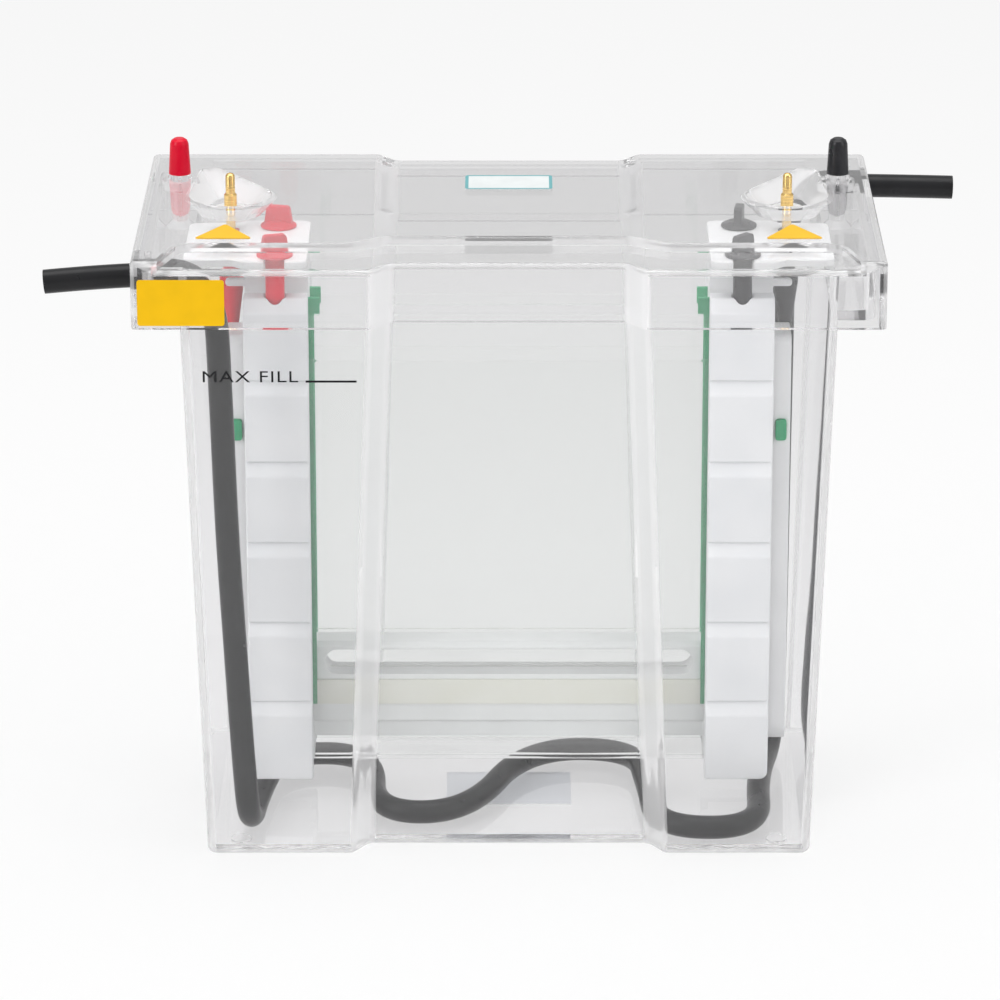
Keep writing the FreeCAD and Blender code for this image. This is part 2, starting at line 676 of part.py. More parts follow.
def make_knob(turn_angle, x, y):
    """Winged knob with its flange on the end plate and its shaft down in the bar."""
    seat = end_plate_top + 0.1
    stem_base = bar_top - KNOB_STEM_ENTRY
    shaft_base = bar_top - KNOB_SHAFT_LENGTH
    top = seat + KNOB_FLANGE_THICK + KNOB_WING_HEIGHT
    body = turned([(0, shaft_base), (KNOB_SHAFT_R, shaft_base), (KNOB_SHAFT_R, stem_base),
                   (KNOB_STEM_R, stem_base), (KNOB_STEM_R, seat), (KNOB_FLANGE_R, seat),
                   (KNOB_FLANGE_R, seat + KNOB_FLANGE_THICK * 0.6),
                   (KNOB_STEM_R, seat + KNOB_FLANGE_THICK + 1.0),
                   (0, seat + KNOB_FLANGE_THICK + 1.0)], 0, 0)
    wide, foot = KNOB_WING_WIDTH / 2, KNOB_FLANGE_R * 0.8
    line = [(-foot, seat + KNOB_FLANGE_THICK * 0.5), (foot, seat + KNOB_FLANGE_THICK * 0.5),
            (wide, top), (-wide, top)]
    wing = prism(rounded_wire(line, [0, 0, 1.6, 1.6], "XZ", -KNOB_WING_THICK / 2),
                 Vector(0, KNOB_WING_THICK, 0))
    knob = body.fuse(wing).removeSplitter()
    knob.rotate(Vector(0, 0, 0), UP, turn_angle)
    knob.translate(Vector(x, y, 0))
    return knob


def make_pin(side):
    """Gilt inlet pin: stepped and domed above the well, plain below it."""
    dome = PIN_R * 0.5
    top = pin_base + PIN_HEIGHT
    low = well_floor - PIN_REACH
    return turned([(0, low), (PIN_R - 0.8, low), (PIN_R, low + 1.2), (PIN_R, well_floor),
                   (PIN_R, pin_base), (PIN_BASE_R, pin_base),
                   (PIN_BASE_R, pin_base + PIN_BASE_HEIGHT),
                   (PIN_R, pin_base + PIN_BASE_HEIGHT + 0.8), (PIN_R, top - 1.6),
                   (PIN_R * 0.86, top - 0.7), (dome, top - 0.15), (0, top)],
                  side * pin_x, PIN_Y)


def make_nut(side):
    """White nut that holds the pin in the well."""
    top = well_floor + NUT_THICK
    return turned([(PIN_R, well_floor), (NUT_R, well_floor), (NUT_R, top - 0.6),
                   (NUT_R - 0.6, top), (PIN_R, top)], side * pin_x, PIN_Y)


def make_socket(side):
    """Coloured socket under the end plate that takes the lid's pin."""
    bore = PIN_R + BORE_CLEAR
    flange = end_plate_z - SOCKET_NECK
    tail = flange - SOCKET_BODY
    floor = well_floor - PIN_REACH - 2.0
    ball = tail - SOCKET_BALL_R * 0.7
    body = turned([(bore, end_plate_top), (SOCKET_NECK_R, end_plate_top),
                   (SOCKET_NECK_R, flange), (SOCKET_FLANGE_R, flange),
                   (SOCKET_FLANGE_R, flange - SOCKET_FLANGE_THICK),
                   (SOCKET_TAIL_R, tail), (0, tail), (0, floor), (bore, floor)],
                  side * pin_x, PIN_Y)
    bead = Part.makeSphere(SOCKET_BALL_R, Vector(side * pin_x, PIN_Y, ball))
    return body.fuse(bead).removeSplitter()


def location_post(side):
    """Clear post of the tank's moulding: it stands on the shelf and carries a cap."""
    foot = shelf_z - SHELF_THICK / 2
    return turned([(0, foot), (POST_R + POST_FOOT, foot), (POST_R + POST_FOOT, shelf_z),
                   (POST_R, shelf_z + POST_FOOT), (POST_R, post_end - 1.0),
                   (POST_R - 1.0, post_end), (0, post_end)], side * post_x, POST_Y)


def make_post_cap(side):
    """Coloured cap pushed over a post's end: tapered, domed and hollow."""
    bore = POST_R + POST_CAP_FIT
    roof = post_end + POST_CAP_FIT
    return turned([(bore, post_cap_base), (POST_CAP_R, post_cap_base),
                   (POST_TOP_R, post_top - 2.5), (POST_TOP_R - 0.6, post_top - 0.9),
                   (POST_TOP_R - 1.9, post_top), (0, post_top), (0, roof),
                   (bore - 1.0, roof), (bore, roof - 1.0)], side * post_x, POST_Y)


def make_front_label():
    """Bare yellow plate on the front skirt."""
    x0 = LID_CORNER + FRONT_LABEL_INSET - lid_half_width
    x1 = x0 + FRONT_LABEL_WIDTH
    middle = (skirt_base + ledge_top) / 2 - 1.0
    high = FRONT_LABEL_HEIGHT / 2
    line = [(x0, middle - high), (x1, middle - high), (x1, middle + high),
            (x0, middle + high)]
    return prism(rounded_wire(line, 1.2, "XZ", -lid_half_depth - LABEL_THICK),
                 Vector(0, LABEL_THICK, 0))


def make_top_label(side):
    """Bare yellow triangle on the deck, in front of a well."""
    front = -(lid_half_depth - LEDGE_DEPTH) + TOP_LABEL_SETBACK
    half = TOP_LABEL_SIDE / 2
    tip = front + TOP_LABEL_SIDE * math.sqrt(3) / 2
    x = side * pin_x
    line = [(x - half, front), (x + half, front), (x, tip)]
    return prism(rounded_wire(line, 1.0, "XY", lid_top), Vector(0, 0, LABEL_THICK))


def make_back_label():
    """Bare framed plate near the back of the deck."""
    half, deep = BACK_LABEL_WIDTH / 2, BACK_LABEL_DEPTH / 2
    line = [(-half, BACK_LABEL_Y - deep), (half, BACK_LABEL_Y - deep),
            (half, BACK_LABEL_Y + deep), (-half, BACK_LABEL_Y + deep)]
    return prism(rounded_wire(line, 1.5, "XY", lid_top), Vector(0, 0, LABEL_THICK))


def beside_wall(side, z, gap):
    """X of a point that lies a gap inside the end wall, at one height."""
    lean = z * math.tan(math.radians(TANK_END_DRAFT))
    return side * (base_half_width - TANK_WALL + lean - gap)


def hose_leg(side, top, corners):
    """Corners of an upright leg from shares of its height, gaps to the wall and Y."""
    return [(beside_wall(side, share * top, gap), y, share * top) for share, gap, y in corners]


def hose_route():
    """The route's corners: in at the left, to and fro on the floor, out at the right."""
    floor_z = TANK_FLOOR + HOSE_R + 0.3
    half = beside_wall(1, floor_z, 0)
    left_down = hose_leg(-1, hose_left_z, [(1.0, 11.0, HOSE_LEFT_Y), (0.78, 11.2, -54.0),
                                           (0.55, 10.9, -53.2), (0.32, 12.3, -54.5),
                                           (0.17, 13.4, -58.0)])
    right_up = hose_leg(1, hose_right_z, [(0.28, 9.4, 42.5), (0.5, 10.9, 43.0),
                                          (0.725, 12.0, 47.0), (1.0, 13.1, HOSE_RIGHT_Y)])
    lap = [(-0.881, -61.0), (-0.86, -22.0), (-0.8, 24.0), (-0.469, 22.0), (-0.465, -44.0),
           (-0.136, -44.0), (0.056, 28.0), (0.449, 28.0), (0.513, -61.0), (0.858, -61.0),
           (0.861, -5.0), (0.936, 42.0)]
    on_floor = [(share * half, y, floor_z) for share, y in lap]
    mouth = lid_half_width + HOSE_MOUTH
    tip = lid_half_width + HOSE_STUB
    return ([(-tip, HOSE_LEFT_Y - 0.5, hose_left_z - HOSE_SAG),
             (-mouth, HOSE_LEFT_Y, hose_left_z)] + left_down + on_floor + right_up
            + [(mouth, HOSE_RIGHT_Y, hose_right_z),
               (tip, HOSE_RIGHT_Y + 0.5, hose_right_z - HOSE_SAG / 3)])


def hose_path(points):
    """Straight runs joined by tangent arcs; also the radii of the arcs."""
    spots = [Vector(*p) for p in points]
    edges, radii = [], []
    last = spots[0]
    for i in range(1, len(spots) - 1):
        back = spots[i - 1] - spots[i]
        ahead = spots[i + 1] - spots[i]
        half_turn = (math.pi - back.getAngle(ahead)) / 2
        reach = 0.45 * min(back.Length, ahead.Length)
        radius = reach / math.tan(half_turn)
        back.normalize()
        ahead.normalize()
        start, end = spots[i] + back * reach, spots[i] + ahead * reach
        middle = (back + ahead).normalize()
        centre = spots[i] + middle * (radius / math.cos(half_turn))
        if last.distanceToPoint(start) > 1e-6:
            edges.append(Part.LineSegment(last, start).toShape())
        edges.append(Part.Arc(start, centre - middle * radius, end).toShape())
        radii.append(radius)
        last = end
    edges.append(Part.LineSegment(last, spots[-1]).toShape())
    return Part.Wire(edges), radii


def make_hose():
    """Cooling hose laid to and fro over the tank floor, with a stub at each end."""
    route = hose_route()
    path, radii = hose_path(route)
    start = Vector(*route[0])
    heading = Vector(*route[1]) - start
    ring = Part.Wire([Part.makeCircle(HOSE_R, start, heading)])
    hose = path.makePipeShell([ring], True, True)
    print("hose radii", [round(r, 1) for r in radii])
    print("hose volume", round(hose.Volume), "section x length",
          round(math.pi * HOSE_R ** 2 * path.Length), "length", round(path.Length))
    return hose


def main():
    os.makedirs("parts", exist_ok=True)
    clamp = make_clamp()
    outer_plate = make_outer_plate()
    notched_plate = make_notched_plate()
    spacer = make_spacer()
    nodes = {
        "tank": make_tank(),
        "post_cap_red": make_post_cap(-1),
        "post_cap_black": make_post_cap(1),
        "lid": make_lid(),
        "inlet_pin_left": make_pin(-1),
        "inlet_pin_right": make_pin(1),
        "pin_nut_left": make_nut(-1),
        "pin_nut_right": make_nut(1),
        "socket_red": make_socket(-1),
        "socket_black": make_socket(1),
        "module_core": make_core(),
        "upper_electrode_wire": upper_wire(),
        "lower_electrode_wire": lower_wire(),
        "clamp_front_right": clamp,
        "clamp_front_left": flip_x(clamp),
        "clamp_back_right": flip_y(clamp),
        "clamp_back_left": flip_x(flip_y(clamp)),
        "knob_front_left": make_knob(18, -knob_x, -knob_y),
        "knob_back_left": make_knob(-12, -knob_x, knob_y),
        "knob_front_right": make_knob(48, knob_x, -knob_y),
        "knob_back_right": make_knob(82, knob_x, knob_y),
        "side_seal_front_right": side_seal(-1),
        "side_seal_front_left": flip_x(side_seal(-1)),
        "side_seal_back_right": side_seal(1),
        "side_seal_back_left": flip_x(side_seal(1)),
        "base_seal_front": base_seal(-1),
        "base_seal_back": base_seal(1),
        "outer_plate_front": outer_plate,
        "outer_plate_back": flip_y(outer_plate),
        "notched_plate_front": notched_plate,
        "notched_plate_back": flip_y(notched_plate),
        "spacer_front_right": spacer,
        "spacer_front_left": flip_x(spacer),
        "spacer_back_right": flip_y(spacer),
        "spacer_back_left": flip_x(flip_y(spacer)),
        "drain_plug_right": drain_plug(-1),
        "drain_plug_left": flip_x(drain_plug(-1)),
        "cooling_hose": make_hose(),
        "front_label": make_front_label(),
        "top_label_left": make_top_label(-1),
        "top_label_right": make_top_label(1),
        "back_label": make_back_label(),
    }
    for name, shape in nodes.items():
        if not shape.isValid() or len(shape.Solids) != 1:
            print("check", name, shape.isValid(), len(shape.Solids))
        shape.exportStep("parts/" + name + ".step")


main()
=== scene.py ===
"""Looks of a clear vertical gel tank: a moulded tank and lid, a hanging module, a hose."""

import json
import logging
import math
from dataclasses import dataclass, field
from enum import Enum
from typing import Callable

import bpy
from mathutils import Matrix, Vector

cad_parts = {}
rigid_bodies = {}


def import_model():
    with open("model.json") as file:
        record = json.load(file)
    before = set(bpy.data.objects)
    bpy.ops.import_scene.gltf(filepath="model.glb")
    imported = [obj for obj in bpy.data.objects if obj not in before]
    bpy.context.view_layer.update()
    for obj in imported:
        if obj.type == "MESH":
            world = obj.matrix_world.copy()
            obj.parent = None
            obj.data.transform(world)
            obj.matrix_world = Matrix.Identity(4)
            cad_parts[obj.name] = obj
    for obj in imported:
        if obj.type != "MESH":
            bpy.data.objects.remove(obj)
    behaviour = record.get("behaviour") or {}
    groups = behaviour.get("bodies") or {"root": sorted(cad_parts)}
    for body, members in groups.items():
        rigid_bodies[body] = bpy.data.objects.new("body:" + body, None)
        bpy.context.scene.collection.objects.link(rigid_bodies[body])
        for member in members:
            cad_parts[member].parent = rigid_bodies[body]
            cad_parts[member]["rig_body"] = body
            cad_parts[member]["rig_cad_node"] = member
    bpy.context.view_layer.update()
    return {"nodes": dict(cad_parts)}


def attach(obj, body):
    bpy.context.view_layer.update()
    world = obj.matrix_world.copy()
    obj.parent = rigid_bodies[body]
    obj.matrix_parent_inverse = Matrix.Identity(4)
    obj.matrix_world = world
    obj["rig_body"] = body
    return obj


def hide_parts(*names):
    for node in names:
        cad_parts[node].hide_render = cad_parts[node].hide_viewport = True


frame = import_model()

MM = 0.001
WELD_DISTANCE = 1e-6
FLAT_ANGLE = 0.3
KEY_STEPS_PER_METRE = 2e5
log = logging.getLogger("gel_tank")


class Side(Enum):
    """Left or right of the tank, as seen from the front."""

    LEFT = -1
    RIGHT = 1

    @property
    def word(self) -> str:
        """The word that node names use."""
        return self.name.lower()


class Face(Enum):
    """Front or back of the module."""

    FRONT = -1
    BACK = 1

    @property
    def word(self) -> str:
        """The word that node names use."""
        return self.name.lower()


def alone(piece: bpy.types.Object) -> None:
    """Selects one object, makes it active and nothing else.

    Args:
        piece: the object to select.
    """
    bpy.ops.object.select_all(action="DESELECT")
    piece.select_set(True)
    bpy.context.view_layer.objects.active = piece


def apply_modifiers(piece: bpy.types.Object) -> None:
    """Applies every modifier of an object, in order.

    Args:
        piece: the object that carries the modifiers.
    """
    alone(piece)
    for modifier in list(piece.modifiers):
        bpy.ops.object.modifier_apply(modifier=modifier.name)


def settle(piece: bpy.types.Object) -> None:
    """Moves an object's place, turn and size into its mesh.

    Args:
        piece: the object to settle at the origin.
    """
    alone(piece)
    bpy.ops.object.transform_apply(location=True, rotation=True, scale=True)


def dress(piece: bpy.types.Object, material: bpy.types.Material) -> None:
    """Gives an object one material on all its faces.

    Args:
        piece: the object to dress.
        material: its finish.
    """
    piece.data.materials.clear()
    piece.data.materials.append(material)


def register(piece: bpy.types.Object, body: str, slot: str, *nodes: str) -> None:
    """Makes a new piece ride on its body and stand for its CAD nodes.

    Args:
        piece: the finished piece.
        body: the body that it rides on.
        slot: the record's material slot; not used.
        nodes: the CAD nodes that it stands for.
    """
    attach(piece, body)
    if nodes:
        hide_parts(*nodes)
    log.info("%s: %d faces on %s", piece.name, len(piece.data.polygons), body)


def select_faces(piece: bpy.types.Object,
                 wanted: Callable[[bpy.types.MeshPolygon], bool]) -> None:
    """Selects the faces that a test picks, by place or normal, in object mode.

    Args:
        piece: a mesh object.
        wanted: a test of one polygon.
    """
    mesh = piece.data
    mesh.polygons.foreach_set("select", [False] * len(mesh.polygons))
    mesh.edges.foreach_set("select", [False] * len(mesh.edges))
    mesh.vertices.foreach_set("select", [False] * len(mesh.vertices))
    for polygon in mesh.polygons:
        if wanted(polygon):
            polygon.select = True


@dataclass(frozen=True)
class Rounding:
    """How the edges of a rigid piece are softened.

    Attributes:
        width: the radius of an edge, in metres.
        segments: the faces across it.
        angle: how sharp an edge has to be, in degrees.
        shaft: how far a knob's shaft stands from the middle, in X and Y.
        shaft_reach: edges this near to the shaft's line stay sharp.
    """

    width: float = 0.4 * MM
    segments: int = 2
    angle: float = 32.0
    shaft: tuple[float, float] = (0.0, 0.0)
    shaft_reach: float = 0.0

    def spares(self, ends: list[Vector]) -> bool:
        """Whether an edge lies on a shaft or in its hole, where it stays sharp.

        Args:
            ends: the edge's two ends.

        Returns:
            True on the shaft or in its hole.
        """
        return all(math.hypot(abs(end.x) - self.shaft[0], abs(end.y) - self.shaft[1])
                   < self.shaft_reach for end in ends)

def weigh_edges(piece: bpy.types.Object, rounding: Rounding) -> None:
    """Marks the edges that a moulding's radius runs along.

    Args:
        piece: a welded mesh object.
        rounding: how sharp an edge has to be.
    """
    mesh = piece.data
    normals: dict[tuple[int, int], list[Vector]] = {}
    for polygon in mesh.polygons:
        for key in polygon.edge_keys:
            normals.setdefault(key, []).append(polygon.normal)
    weights = mesh.attributes.new("bevel_weight_edge", "FLOAT", "EDGE")
    for edge in mesh.edges:
        sides = normals.get(edge.key, [])
        ends = [mesh.vertices[i].co for i in edge.vertices]
        if len(sides) == 2 and not rounding.spares(ends):
            sharp = sides[0].angle(sides[1]) > math.radians(rounding.angle)
            weights.data[edge.index].value = float(sharp)


def copied(node: str, name: str) -> bpy.types.Object:
    """A free copy of a CAD node, still in loose triangles.

    Args:
        node: the CAD node to copy.
        name: the new piece's name.

    Returns:
        The copy at the origin.
    """
    source = frame["nodes"][node]
    piece = source.copy()
    piece.data = source.data.copy()
    piece.name = name
    piece.parent = None
    piece.hide_render = piece.hide_viewport = False
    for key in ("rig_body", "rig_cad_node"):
        if key in piece:
            del piece[key]
    bpy.context.scene.collection.objects.link(piece)
    return piece


def welded(node: str, name: str) -> bpy.types.Object:
    """A welded copy of a CAD node that keeps the true normals of its curved faces.

    Args:
        node: the CAD node to copy.
        name: the new piece's name.

    Returns:
        The finished piece at the origin.
    """
    piece = copied(node, name)
    normals = {}
    mesh = piece.data
    for polygon in mesh.polygons:
        for corner in polygon.loop_indices:
            place = mesh.vertices[mesh.loops[corner].vertex_index].co
            normals[corner_key(place, polygon)] = mesh.corner_normals[corner].vector.copy()
    alone(piece)
    bpy.ops.mesh.customdata_custom_splitnormals_clear()
    bpy.ops.object.mode_set(mode="EDIT")
    bpy.ops.mesh.select_all(action="SELECT")
    bpy.ops.mesh.remove_doubles(threshold=WELD_DISTANCE)
    bpy.ops.object.mode_set(mode="OBJECT")
    bpy.ops.object.shade_smooth()
    ordered = []
    for polygon in mesh.polygons:
        for corner in polygon.loop_indices:
            place = mesh.vertices[mesh.loops[corner].vertex_index].co
            ordered.append(normals.get(corner_key(place, polygon), polygon.normal.copy()))
    mesh.normals_split_custom_set(ordered)
    return piece


def corner_key(place: Vector, polygon: bpy.types.MeshPolygon) -> tuple:
    """A key that finds a face's corner again after a weld.

    Args:
        place: where the corner is.
        polygon: the face that it belongs to.

    Returns:
        The rounded places of the corner and of the face's middle.
    """
    return tuple(round(c * KEY_STEPS_PER_METRE) for c in (*place, *polygon.center))


def softened(node: str, name: str, rounding: Rounding) -> bpy.types.Object:
    """A welded copy of a CAD node, with the small edge radii of a moulding.

    Args:
        node: the CAD node to copy.
        name: the new piece's name.
        rounding: the edge radii to add.

    Returns:
        The finished piece at the origin.
    """
    piece = copied(node, name)
    alone(piece)
    if piece.data.has_custom_normals:
        bpy.ops.mesh.customdata_custom_splitnormals_clear()
    bpy.ops.object.mode_set(mode="EDIT")
    bpy.ops.mesh.select_all(action="SELECT")
    bpy.ops.mesh.remove_doubles(threshold=WELD_DISTANCE)
    bpy.ops.mesh.dissolve_limited(angle_limit=math.radians(FLAT_ANGLE))
    bpy.ops.object.mode_set(mode="OBJECT")
    if rounding.width > 0:
        weigh_edges(piece, rounding)
        bevel = piece.modifiers.new("edge_radius", "BEVEL")
        bevel.width = rounding.width
        bevel.segments = rounding.segments
        bevel.limit_method = "WEIGHT"
        bevel.use_clamp_overlap = False
        apply_modifiers(piece)
    alone(piece)
    bpy.ops.object.shade_smooth_by_angle(angle=math.radians(rounding.angle))
    flatten = piece.modifiers.new("flat_faces_stay_flat", "WEIGHTED_NORMAL")
    flatten.mode = "FACE_AREA"
    flatten.weight = 100
    flatten.keep_sharp = True
    apply_modifiers(piece)
    return piece


class Nodes:
    """A thin helper that builds a material's node tree."""

    def __init__(self, name: str) -> None:
        """Starts an empty material.

        Args:
            name: the material's name.
        """
        self.material = bpy.data.materials.new(name)
        self.material.use_nodes = True
        self.tree = self.material.node_tree
        self.tree.nodes.clear()
        self.output = self.tree.nodes.new("ShaderNodeOutputMaterial")

    def add(self, kind: str, **inputs: object) -> bpy.types.Node:
        """Adds a node and sets its named inputs.

        Args:
            kind: the node's type name.
            inputs: values by socket name, with underscores for spaces.

        Returns:
            The new node.
        """
        node = self.tree.nodes.new(kind)
        for key, value in inputs.items():
            node.inputs[key.replace("_", " ")].default_value = value
        return node

    def link(self, source: bpy.types.NodeSocket, target: bpy.types.NodeSocket) -> None:
        """Joins an output to an input."""
        self.tree.links.new(source, target)

    def place(self) -> bpy.types.NodeSocket:
        """The object's own coordinates."""
        return self.add("ShaderNodeTexCoord").outputs["Object"]

    def noise(self, scale: float, detail: float = 2.0,
              stretch: tuple[float, float, float] = (1, 1, 1)) -> bpy.types.NodeSocket:
        """A noise pattern fixed to the object.

        Args:
            scale: how fine it is, per metre.
            detail: its octaves.
            stretch: its scale along each axis.

        Returns:
            The pattern's value.
        """
        mapping = self.add("ShaderNodeMapping", Scale=stretch)
        self.link(self.place(), mapping.inputs["Vector"])
        noise = self.add("ShaderNodeTexNoise", Scale=scale, Detail=detail)
        self.link(mapping.outputs["Vector"], noise.inputs["Vector"])
        return noise.outputs["Fac"]

    def ranged(self, value: bpy.types.NodeSocket, low: float,
               high: float) -> bpy.types.NodeSocket:
        """A pattern spread between two values.

        Args:
            value: the pattern, about 0.3 to 0.7.
            low: the value at its low end.
            high: the value at its high end.

        Returns:
            The spread value.
        """
        spread = self.add("ShaderNodeMapRange", From_Min=0.3, From_Max=0.7, To_Min=low,
                          To_Max=high)
        self.link(value, spread.inputs["Value"])
        return spread.outputs["Result"]

    def bump(self, value: bpy.types.NodeSocket, height: float,
             strength: float = 1.0) -> bpy.types.NodeSocket:
        """Fine relief from a pattern.

        Args:
            value: the pattern.
            height: its height in metres.
            strength: how much of it shows.

        Returns:
            The bent normal.
        """
        bump = self.add("ShaderNodeBump", Strength=strength, Distance=height)
        self.link(value, bump.inputs["Height"])
        return bump.outputs["Normal"]

    def tinted(self, value: bpy.types.NodeSocket, low: tuple[float, float, float],
               high: tuple[float, float, float]) -> bpy.types.NodeSocket:
        """A colour that a pattern moves between two tones.

        Args:
            value: the pattern from 0 to 1.
            low: the tone at 0.
            high: the tone at 1.

        Returns:
            The mixed colour.
        """
        mix = self.add("ShaderNodeMix")
        mix.data_type = "RGBA"
        colours = [s for s in mix.inputs if s.type == "RGBA"]
        colours[0].default_value = (*low, 1)
        colours[1].default_value = (*high, 1)
        self.link(value, mix.inputs["Factor"])
        return [s for s in mix.outputs if s.type == "RGBA"][0]

    def blend(self, share: bpy.types.NodeSocket, first: bpy.types.NodeSocket,
              second: bpy.types.NodeSocket) -> bpy.types.NodeSocket:
        """Two shaders in one.

        Args:
            share: how much of the second one shows.
            first: the shader at 0.
            second: the shader at 1.

        Returns:
            The mixed shader.
        """
        mix = self.add("ShaderNodeMixShader")
        self.link(share, mix.inputs["Fac"])
        self.link(first, mix.inputs[1])
        self.link(second, mix.inputs[2])
        return mix.outputs["Shader"]

    def finish(self, surface: bpy.types.NodeSocket) -> bpy.types.Material:
        """Sends a shader to the output and returns the material."""
        self.link(surface, self.output.inputs["Surface"])
        return self.material


@dataclass(frozen=True)
class ClearFinish:
    """See-through plastic or glass: clear face on, toned where the view grazes it; the tone is
    a painted shade on edges and silhouettes in place of refraction, and on glass it is partly
    the glass's own green.
    """

    name: str
    tint: tuple[float, float, float] = (0.97, 0.968, 0.972)
    # painted shade: the tone of grazed edges and silhouettes; on glass it is partly the
    # glass's own green
    graze_tint_and_shade: tuple[float, float, float] = (0.45, 0.44, 0.54)
    graze_start: float = 0.86
    bend: float = 1.15
    clarity: float = 0.982
    gloss_ior: float = 1.49
    gloss_roughness: float = 0.03
    ripple: float = 0.25 * MM
    ripple_scale: float = 14.0
    frost: float = 0.0

    def build(self) -> bpy.types.Material:
        """Makes the material.

        Returns:
            A clear body under a mirror-like coat, with painted shade on its grazed edges and a
            moulding ripple.
        """
        n = Nodes(self.name)
        # painted shade: the colour darkens towards the grazing tint where the view grazes the
        # face, in place of refraction's dark edges
        graze = n.add("ShaderNodeMapRange", From_Min=self.graze_start, From_Max=1.0)
        n.link(n.add("ShaderNodeLayerWeight", Blend=0.5).outputs["Facing"],
               graze.inputs["Value"])
        tone = n.tinted(graze.outputs["Result"], self.tint, self.graze_tint_and_shade)
        outside, inside = (self.body(n, tone, coat) for coat in (1.0, 0.0))
        if self.ripple:
            n.link(n.bump(n.noise(self.ripple_scale, 1.0), self.ripple),
                   outside.inputs["Coat Normal"])
        shell = n.blend(n.add("ShaderNodeNewGeometry").outputs["Backfacing"],
                        outside.outputs["BSDF"], inside.outputs["BSDF"])
        through = n.add("ShaderNodeBsdfTransparent", Color=(*self.tint, 1))
        return n.finish(n.blend(n.add("ShaderNodeLightPath").outputs["Is Shadow Ray"],
                                shell, through.outputs["BSDF"]))

    def body(self, n: Nodes, tone: bpy.types.NodeSocket, coat: float) -> bpy.types.Node:
        """One see-through shader.

        Args:
            n: the material being built.
            tone: its colour.
            coat: how much of the mirror-like coat lies on it.

        Returns:
            The shader node.
        """
        shader = n.add("ShaderNodeBsdfPrincipled", Transmission_Weight=self.clarity,
                       IOR=self.bend, Roughness=self.frost, Coat_Weight=coat,
                       Coat_IOR=self.gloss_ior, Coat_Roughness=self.gloss_roughness)
        n.link(tone, shader.inputs["Base Color"])
        return shader


@dataclass(frozen=True)
class MouldedFinish:
    """Opaque moulded plastic, with a faint texture and slight shifts of tone."""

    name: str
    low: tuple[float, float, float]
    high: tuple[float, float, float]
    roughness: float = 0.4
    grain: float = 0.012 * MM
    grain_scale: float = 1400.0
    specular: float = 0.5
    mottle_scale: float = 45.0
    gloss_scale: float = 160.0
    gloss_spread: float = 0.15

    def build(self) -> bpy.types.Material:
        """Makes the material.

        Returns:
            A plastic shader with grain, mottling and uneven gloss.
        """
        n = Nodes(self.name)
        plastic = n.add("ShaderNodeBsdfPrincipled", Roughness=self.roughness,
                        Specular_IOR_Level=self.specular)
        tone = n.ranged(n.noise(self.mottle_scale, 3.0), 0.0, 1.0)
        n.link(n.tinted(tone, self.low, self.high), plastic.inputs["Base Color"])
        gloss = n.ranged(n.noise(self.gloss_scale), self.roughness * (1 - self.gloss_spread),
                         self.roughness * (1 + self.gloss_spread))
        n.link(gloss, plastic.inputs["Roughness"])
        n.link(n.bump(n.noise(self.grain_scale), self.grain), plastic.inputs["Normal"])
        return n.finish(plastic.outputs["BSDF"])


@dataclass(frozen=True)
class MetalFinish:
    """Turned or drawn metal with fine rings."""

    name: str
    colour: tuple[float, float, float]
    roughness: float = 0.22
    ring_gloss: tuple[float, float] = (0.16, 0.3)
    ring_scale: float = 90.0
    ring_stretch: tuple[float, float, float] = (0.2, 0.2, 40.0)
    ring_height: float = 0.01 * MM

    def build(self) -> bpy.types.Material:
        """Makes the material.

        Returns:
            A metal shader with fine marks across it.
        """
        n = Nodes(self.name)
        metal = n.add("ShaderNodeBsdfPrincipled", Metallic=1.0, Roughness=self.roughness,
                      Base_Color=(*self.colour, 1))
        rings = n.noise(self.ring_scale, stretch=self.ring_stretch)
        n.link(n.bump(rings, self.ring_height), metal.inputs["Normal"])
        n.link(n.ranged(rings, *self.ring_gloss), metal.inputs["Roughness"])
        return n.finish(metal.outputs["BSDF"])


@dataclass(frozen=True)
class PrintFinish:
    """Bare vinyl or print of one colour."""

    name: str
    field: tuple[float, float, float]
    roughness: float = 0.35
    specular: float = 0.2
    shade: float = 0.94
    mottle_scale: float = 120.0
    peel_scale: float = 420.0
    peel_height: float = 0.01 * MM

    def build(self) -> bpy.types.Material:
        """Makes the material.

        Returns:
            A vinyl shader with a soft orange-peel gloss.
        """
        n = Nodes(self.name)
        vinyl = n.add("ShaderNodeBsdfPrincipled", Roughness=self.roughness,
                      Specular_IOR_Level=self.specular)
        dark = tuple(c * self.shade for c in self.field)
        n.link(n.tinted(n.ranged(n.noise(self.mottle_scale), 0, 1), dark, self.field),
               vinyl.inputs["Base Color"])
        n.link(n.bump(n.noise(self.peel_scale), self.peel_height), vinyl.inputs["Normal"])
        return n.finish(vinyl.outputs["BSDF"])


